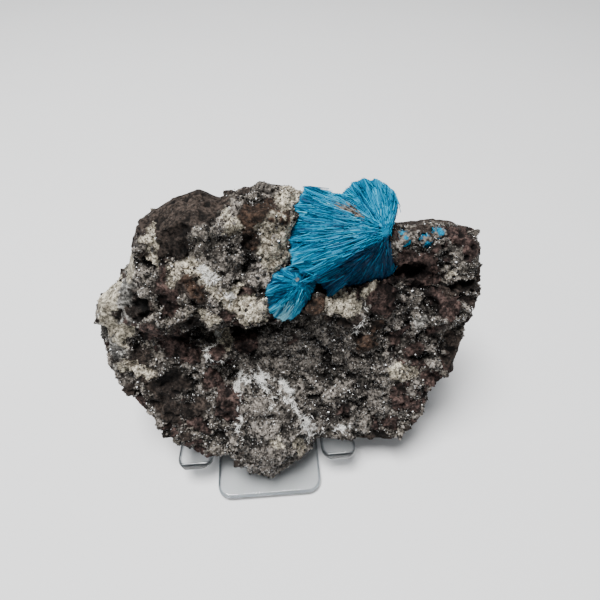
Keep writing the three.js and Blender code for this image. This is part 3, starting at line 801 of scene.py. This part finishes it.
def make_stone():
    """The breccia: the CAD stone's own form with the photograph's grain, beads and clasts on it."""
    piece = remeshed(merged_copy("matrix", "stone"), STONE_VOXEL)
    mesh = piece.data
    points = coordinates(mesh)
    normals = vertex_normals(mesh)
    places = to_stone(points)
    turned = normals @ np.array(WORLD_TO_STONE.to_3x3()).T
    masks, height = stone_relief(places, np.maximum(turned[:, 2], turned[:, 1]))
    room = room_before(["easel", "cavansite_spray"], points, CLEARANCE)
    height = np.where(height > 0, height * room, height)
    mesh.vertices.foreach_set("co", (points + normals * height[:, None] * MM).ravel())
    for name, values in masks.items():
        write_mask(mesh, name, values)
    mesh.update()
    back = np.flatnonzero(soft_step(places[:, 2], *RELIEF_DEPTHS) < 0.5)
    thin_out(piece, back, STONE_KEPT)
    shade_smooth(piece.data)
    piece.data.materials.append(breccia_material())
    return piece


def thin_out(piece, vertices, kept):
    """Leaves the given share of the piece's faces. Those that go are around the listed vertices."""
    group = piece.vertex_groups.new(name="back")
    group.add(vertices.tolist(), 1.0, "REPLACE")
    thin = piece.modifiers.new("thin", "DECIMATE")
    thin.ratio = kept
    thin.vertex_group = group.name
    apply_modifiers(piece)
    piece.vertex_groups.clear()


def as_object(build, name):
    mesh = bpy.data.meshes.new(name)
    build.to_mesh(mesh)
    build.free()
    return bpy.data.objects.new(name, mesh)


def crystal_mesh(name, sides, waist, length, belt=0.0):
    """A small crystal with a pyramid at each end, standing on z, with a straight belt if asked."""
    build = bmesh.new()
    turn = [2 * math.pi * k / sides for k in range(sides)]
    levels = (-belt, belt) if belt else (0.0,)
    rings = [
        [build.verts.new((waist * math.cos(a), waist * math.sin(a), level)) for a in turn]
        for level in levels
    ]
    top = build.verts.new((0, 0, length))
    bottom = build.verts.new((0, 0, -length))
    for k in range(sides):
        after = (k + 1) % sides
        if belt:
            build.faces.new((rings[0][k], rings[0][after], rings[1][after], rings[1][k]))
        build.faces.new((rings[-1][k], rings[-1][after], top))
        build.faces.new((rings[0][after], rings[0][k], bottom))
    return as_object(build, name)


def blade_mesh():
    """A flat pointed blade of unit length that runs back along -z from just past the origin."""
    build = bmesh.new()
    outline = [(-1, -0.25), (1, -0.25), (0, 0.5)]
    low = [build.verts.new((x, y, -0.9)) for x, y in outline]
    high = [build.verts.new((x, y, -0.04)) for x, y in outline]
    tip = build.verts.new((0.3, 0, 0.12))
    for k in range(3):
        after = (k + 1) % 3
        build.faces.new((low[k], low[after], high[after], high[k]))
        build.faces.new((high[k], high[after], tip))
    build.faces.new(low[::-1])
    return as_object(build, "blade")


def scatter_tree(name, inputs):
    """A geometry tree with its named inputs and one geometry output; returns the desk and its ends."""
    tree = bpy.data.node_groups.new(name, "GeometryNodeTree")
    tree.interface.new_socket("Geometry", in_out="INPUT", socket_type="NodeSocketGeometry")
    for label, kind in inputs:
        tree.interface.new_socket(label, in_out="INPUT", socket_type=kind)
    tree.interface.new_socket("Geometry", in_out="OUTPUT", socket_type="NodeSocketGeometry")
    desk = Desk(tree)
    return desk, desk.add("NodeGroupInput").outputs, desk.add("NodeGroupOutput").inputs


def named_value(desk, name, data_type="FLOAT"):
    node = desk.add("GeometryNodeInputNamedAttribute", {"data_type": data_type}, {"Name": name})
    return node.outputs[0]


def random_value(desk, low, high, seed):
    node = desk.add("FunctionNodeRandomValue", {"data_type": "FLOAT"})
    for socket, value in ((node.inputs[2], low), (node.inputs[3], high), (node.inputs["Seed"], seed)):
        desk.join(value, socket)
    return node.outputs[1]


def leaned(desk, rotation, splay, seed):
    """The rotation, turned at random about its own z and tipped by up to the splay."""
    back = desk.add("ShaderNodeMath", {"operation": "MULTIPLY"}, {0: splay, 1: -1.0}).outputs[0]
    lean = desk.add("ShaderNodeCombineXYZ", {}, {
        "X": random_value(desk, back, splay, seed + 1),
        "Y": random_value(desk, back, splay, seed + 2),
        "Z": random_value(desk, 0.0, 2 * math.pi, seed + 4),
    })
    return desk.add("FunctionNodeRotateRotation", {"rotation_space": "LOCAL"}, {
        "Rotation": rotation, "Rotate By": lean.outputs[0],
    }).outputs[0]


def finish_scatter(desk, ends, points, shape, rotation, scale, seed, material):
    """Puts the shape on the points, gives each its own shade, and makes them one plain mesh."""
    placed = desk.add("GeometryNodeInstanceOnPoints", {}, {
        "Points": points, "Instance": shape, "Rotation": rotation, "Scale": scale,
    })
    store = {"data_type": "FLOAT", "domain": "INSTANCE"}
    shaded = desk.add("GeometryNodeStoreNamedAttribute", store, {
        "Geometry": placed.outputs[0], "Name": "shade", "Value": random_value(desk, 0.0, 1.0, seed + 3),
    })
    whole = desk.add("GeometryNodeRealizeInstances", {}, {"Geometry": shaded.outputs[0]})
    painted = desk.add("GeometryNodeSetMaterial", {}, {
        "Geometry": whole.outputs[0], "Material": material,
    })
    desk.join(painted.outputs[0], ends[0])


SCATTER_INPUTS = [
    ("Shape", "NodeSocketObject"), ("Density", "NodeSocketFloat"), ("Smallest", "NodeSocketFloat"),
    ("Largest", "NodeSocketFloat"), ("Splay", "NodeSocketFloat"),
]


def crystal_tree(name, mask, seed, material):
    """Crystals stand on the surface where the mask is, each turned and sized at random."""
    desk, given, ends = scatter_tree(name, SCATTER_INPUTS)
    density = desk.add("ShaderNodeMath", {"operation": "MULTIPLY"}, {
        0: named_value(desk, mask), 1: given["Density"],
    })
    spread = desk.add("GeometryNodeDistributePointsOnFaces", {}, {
        "Mesh": given["Geometry"], "Density": density.outputs[0], "Seed": seed,
    })
    turned = leaned(desk, spread.outputs["Rotation"], given["Splay"], seed)
    size = random_value(desk, given["Smallest"], given["Largest"], seed + 5)
    shape = desk.add("GeometryNodeObjectInfo", {}, {"Object": given["Shape"]}).outputs["Geometry"]
    points = spread.outputs["Points"]
    finish_scatter(desk, ends, points, shape, turned, size, seed, material)
    return desk.tree


def blade_tree(name, seed, material):
    """Blades lie along each point's own way and rise a little at their tips."""
    desk, given, ends = scatter_tree(name, SCATTER_INPUTS + [("Width", "NodeSocketFloat")])
    spread = desk.add("GeometryNodeDistributePointsOnFaces", {}, {
        "Mesh": given["Geometry"], "Density": given["Density"], "Seed": seed,
    })
    way = named_value(desk, "way", "FLOAT_VECTOR")
    along = desk.add("FunctionNodeAlignRotationToVector", {"axis": "Z"}, {"Vector": way})
    turned = leaned(desk, along.outputs[0], given["Splay"], seed)
    share = random_value(desk, given["Smallest"], given["Largest"], seed + 5)
    reach = named_value(desk, "reach")
    length = desk.add("ShaderNodeMath", {"operation": "MULTIPLY"}, {0: share, 1: reach}).outputs[0]
    size = desk.add("ShaderNodeCombineXYZ", {}, {"X": given["Width"], "Y": given["Width"], "Z": length})
    shape = desk.add("GeometryNodeObjectInfo", {}, {"Object": given["Shape"]}).outputs["Geometry"]
    points = spread.outputs["Points"]
    finish_scatter(desk, ends, points, shape, turned, size.outputs[0], seed, material)
    return desk.tree


def scattered(name, surface, tree, values):
    """A new plain mesh: what the tree makes on the surface, with its inputs set by their identifiers."""
    piece = bpy.data.objects.new(name, surface.data.copy())
    bpy.context.scene.collection.objects.link(piece)
    modifier = piece.modifiers.new("scatter", "NODES")
    modifier.node_group = tree
    for item in tree.interface.items_tree:
        if item.in_out == "INPUT" and item.name in values:
            modifier[item.identifier] = values[item.name]
    return apply_modifiers(piece)


def set_ways(mesh, hearts, longest):
    """Each point's way from its spray's heart along the surface, and how long a blade can be there."""
    points = coordinates(mesh)
    normals = vertex_normals(mesh)
    ways = points - hearts
    away = np.linalg.norm(ways, axis=1)
    ways /= np.maximum(away, 1e-9)[:, None]
    facing = np.sum(ways * normals, axis=1)
    ways -= normals * (facing * (np.abs(facing) < LIES_FLAT))[:, None]
    ways /= np.maximum(np.linalg.norm(ways, axis=1), 1e-9)[:, None]
    write_arrows(mesh, "way", ways)
    write_mask(mesh, "reach", np.minimum(away, longest) * (facing > FACES_BACK))


def ray_places(places, heart):
    """Places that are nearly the same all along a line out of the heart, for streaks that follow the
    blades, and each place's distance from the heart."""
    du, dv = places[:, 0] - heart[:, 0], places[:, 1] - heart[:, 1]
    angle = np.arctan2(dv, du)
    reach = np.linalg.norm(places - heart, axis=1)
    ray = [np.cos(angle) * STREAKS, np.sin(angle) * STREAKS, reach * RAY_STRETCH]
    return np.stack(ray, axis=1), reach


def below_ridge(places):
    """How far under the large spray's ridge each place is, from 0 to 1."""
    ridge = np.array(RIDGE_END) - np.array(LARGE_SPRAY_HEART[:2])
    du, dv = places[:, 0] - LARGE_SPRAY_HEART[0], places[:, 1] - LARGE_SPRAY_HEART[1]
    below = (ridge[0] * dv - ridge[1] * du) / np.linalg.norm(ridge)
    return soft_step(below, *RIDGE_EDGE) * soft_step(places[:, 0], *RIDGE_FADE)


def write_blues(mesh, places, small, reach, streak, fold):
    """The sprays' masks: streaks that paint sheen and shade along the relief, how deep a blue it is and
    where shade is painted, how pale its tips are, and where crust lies on it.
    """
    # The streaks follow the relief, so they paint sheen on its ridges and shade in its grooves
    write_mask(mesh, "streak", 0.5 * streak + 0.5 * fold)
    write_mask(mesh, "shade", smooth_noise(places, 1.2, 41))
    # Shade is painted in the small spray's folds and under the large spray's ridge
    small_depth = SMALL_SPRAY_DEPTH + SMALL_SPRAY_FOLD_SHADE * (0.5 - fold)
    write_mask(mesh, "deep", np.where(small, small_depth, below_ridge(places)))
    tips = soft_step(reach, *SMALL_SPRAY_TIPS)
    tips = np.where(small, tips, 0.5 * soft_step(reach, *LARGE_SPRAY_TIPS))
    write_mask(mesh, "frosted", tips * soft_step(streak, 0.35, 0.75))
    wobble = smooth_noise(places, EDGE_SIZE, 47) - 0.5
    write_mask(mesh, "crusted", spot_mask(places, CRUST_ON_BLUE, wobble))


def blades_on(body, name, tree, density, shares, splay, width):
    """The blades that stand on a blue body, as a plain mesh."""
    return scattered(name, body, tree, {
        "Shape": blade_mesh(), "Density": density, "Smallest": shares[0], "Largest": shares[1],
        "Splay": splay, "Width": width,
    })


def make_sprays():
    """The two joined sprays: a streaked body of the CAD form under thousands of radiating blades."""
    body = remeshed(merged_copy("cavansite_spray", "spray_body"), SPRAY_VOXEL, SPRAY_WEAR)
    mesh = body.data
    points = coordinates(mesh)
    places = to_stone(points)
    away = np.linalg.norm(places[:, :2] - np.array(SMALL_SPRAY_MIDDLE), axis=1)
    small = (away < SMALL_SPRAY_RADIUS) & (places[:, 1] < SMALL_SPRAY_TOP)
    heart = np.where(small[:, None], SMALL_SPRAY_HEART, LARGE_SPRAY_HEART)
    ends = [np.array(stone_point(*place)) for place in (SMALL_SPRAY_HEART, LARGE_SPRAY_HEART)]
    hearts = np.where(small[:, None], *ends)
    rays, reach = ray_places(places, heart)
    streak = 0.6 * smooth_noise(rays, 1.7, 43) + 0.4 * smooth_noise(rays, 0.7, 44)
    fold = smooth_noise(rays / np.array([1, 1, 4]), FOLDS, 46)
    away = np.clip(reach / FLAT_HEART, 0, 1)
    height = (STREAK_HEIGHT * 2 * (streak - 0.5) + FOLD_HEIGHT * 2 * (fold - 0.5)) * away
    mesh.vertices.foreach_set("co", (points + vertex_normals(mesh) * height[:, None] * MM).ravel())
    mesh.update()
    set_ways(mesh, hearts, BLADE_REACH)
    write_arrows(mesh, "ray", rays)
    write_blues(mesh, places, small, reach, streak, fold)
    material = cavansite_material()
    mesh.materials.append(material)
    shade_smooth(mesh)
    tree = blade_tree("radiating blades", 51, material)
    blades = blades_on(body, "spray_blades", tree, BLADE_DENSITY, BLADE_SHARES, BLADE_SPLAY, BLADE_WIDTH)
    return [body, blades]


def make_tufts():
    """The three small rosettes: each a body of its CAD form under splayed blades, with its node."""
    pieces = []
    material = bpy.data.materials["cavansite_blue"]
    for k, shade in enumerate(TUFT_SHADES, 1):
        node = f"cavansite_tuft_{k}"
        body = remeshed(merged_copy(node, f"tuft_{k}_body"), TUFT_VOXEL)
        mesh = body.data
        low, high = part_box(node)
        heart = (low + high) / 2 + (stone_point(0, 0, -TUFT_SINK) - stone_point(0, 0, 0))
        set_ways(mesh, np.array(heart), TUFT_BLADE_REACH)
        places = to_stone(coordinates(mesh))
        away = np.linalg.norm(places - to_stone(np.array([heart])), axis=1) / TUFT_REACH
        crust = 0.8 * smooth_noise(places, 0.9, 48) + 0.4 * away
        write_mask(mesh, "crusted", soft_step(crust, *TUFT_CRUST))
        write_arrows(mesh, "ray", places * 3)
        write_mask(mesh, "streak", smooth_noise(places, 0.5, 45))
        write_mask(mesh, "shade", np.full(len(places), shade))
        mesh.materials.append(material)
        tree = blade_tree(f"tuft {k}", 60 + k, material)
        blades = blades_on(
            body, f"tuft_{k}_blades", tree, TUFT_BLADE_DENSITY, TUFT_BLADE_SHARES, TUFT_BLADE_SPLAY,
            TUFT_BLADE_WIDTH,
        )
        pieces.append((node, body, blades))
    return pieces


def make_druse(stone):
    """Glassy crystals over the druse, paler ones on the cream patches, and fibres on the veins."""
    finishes = {
        "grey": crystal_material("grey_druse", GREY_CRYSTAL_COLOURS, 0.12),
        "cream": crystal_material("cream_druse", CREAM_CRYSTAL_COLOURS, 0.3),
        # The sparkles' pale colour is a painted glint, with less painted shade in deep places
        "clear": crystal_material("glinting_druse", GLINT_CRYSTAL_COLOURS, 0.05, painted_shade_share=0.15),
        "white": fibre_material(),
    }
    shapes = {
        "grain": crystal_mesh("druse_grain", 4, 0.7, 1.0),
        "prism": crystal_mesh("druse_prism", 5, 0.62, 1.0, 0.3),
        "needle": crystal_mesh("needle", 3, 0.085, 1.0),
    }
    pieces = []
    for name, mask, seed, shape, finish, density, smallest, largest, splay in CRYSTALS:
        tree = crystal_tree(f"{name} scatter", mask, seed, finishes[finish])
        pieces.append(scattered(name, stone, tree, {
            "Shape": shapes[shape], "Density": density / MM ** 2, "Smallest": smallest * MM,
            "Largest": largest * MM, "Splay": splay,
        }))
    return pieces


def round_over(mesh):
    """Rounds the sheet's long edges, except where its strips meet at the low bend, and writes the mask of
    the shade painted along its edges, which is 1 along every edge and 0 on the sheet's faces and bends."""
    build = bmesh.new()
    build.from_mesh(mesh)
    rim = build.verts.layers.float.new("rim")
    bmesh.ops.dissolve_limit(build, angle_limit=math.radians(1), verts=build.verts, edges=build.edges)
    for face in build.faces:
        face.material_index = int(all(edge.calc_face_angle(0) > SHARP_EDGE for edge in face.edges))
    edges = []
    for edge in build.edges:
        middle = (edge.verts[0].co + edge.verts[1].co) / 2 - EASEL_ORIGIN
        at_bend = LOW_BEND[0] < middle.y < LOW_BEND[1] and middle.z < LOW_BEND[2]
        if not at_bend and edge.calc_face_angle(0) > SHARP_EDGE:
            edges.append(edge)
    rounded = bmesh.ops.bevel(
        build, geom=edges, offset=SHEET_ROUNDING, offset_type="OFFSET", segments=4, profile=0.5,
        affect="EDGES", clamp_overlap=False,
    )["faces"]
    for vertex in build.verts:
        vertex[rim] = 1.0
    for face in set(build.faces) - set(rounded):
        if face.material_index == 0:
            for vertex in face.verts:
                vertex[rim] = 0.0
    for face in build.faces:
        face.material_index = 0
    bmesh.ops.recalc_face_normals(build, faces=build.faces)
    build.to_mesh(mesh)
    build.free()


def make_easel():
    """The clear sheet with its edges rounded over."""
    piece = merged_copy("easel", "clear_easel")
    round_over(piece.data)
    for face in piece.data.polygons:
        face.use_smooth = face.area < FLAT_FACE_AREA
    piece.data.materials.append(clear_material())
    return piece


def make_camera():
    camera = bpy.data.cameras.new("view")
    camera.sensor_width = SENSOR
    camera.lens = FOCAL_PIXELS * SENSOR / IMAGE_SIZE
    camera.clip_start = CLIP_START
    piece = bpy.data.objects.new("view", camera)
    piece.location = EASEL_ORIGIN + CAMERA_PLACE
    piece.rotation_euler = Euler((math.pi / 2 - CAMERA_PITCH, 0, -CAMERA_TURN))
    bpy.context.scene.collection.objects.link(piece)
    bpy.context.scene.camera = piece


def make_lights():
    """One broad lamp above, a little to the left, and a soft room."""
    light = bpy.data.lights.new("ceiling", "AREA")
    light.size = LAMP_SIZE
    light.energy = LAMP_POWER
    lamp = bpy.data.objects.new("ceiling", light)
    lamp.location = LAMP_PLACE
    lamp.rotation_euler = (LAMP_AIM - LAMP_PLACE).to_track_quat("-Z", "Y").to_euler()
    bpy.context.scene.collection.objects.link(lamp)
    world = bpy.data.worlds.new("soft room")
    world.use_nodes = True
    background = world.node_tree.nodes["Background"]
    background.inputs["Color"].default_value = ROOM_COLOUR
    background.inputs["Strength"].default_value = ROOM_STRENGTH
    bpy.context.scene.world = world


def make_floor():
    mesh = bpy.data.meshes.new("table")
    corners = [(x * TABLE_REACH, y * TABLE_REACH, 0) for x, y in ((-1, -1), (1, -1), (1, 1), (-1, 1))]
    mesh.from_pydata(corners, [], [(0, 1, 2, 3)])
    floor = bpy.data.objects.new("table", mesh)
    bpy.context.scene.collection.objects.link(floor)
    floor.data.materials.append(floor_material())


def settle(piece, node=None):
    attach(piece, "root")
    if node:
        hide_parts(node)


make_camera()
make_lights()
make_floor()

stone = make_stone()
settle(stone, "matrix")
for piece in make_druse(stone):
    settle(piece, "matrix")
for piece in make_sprays():
    settle(piece, "cavansite_spray")
for node, body, blades in make_tufts():
    settle(body, node)
    settle(blades, node)
settle(make_easel(), "easel")
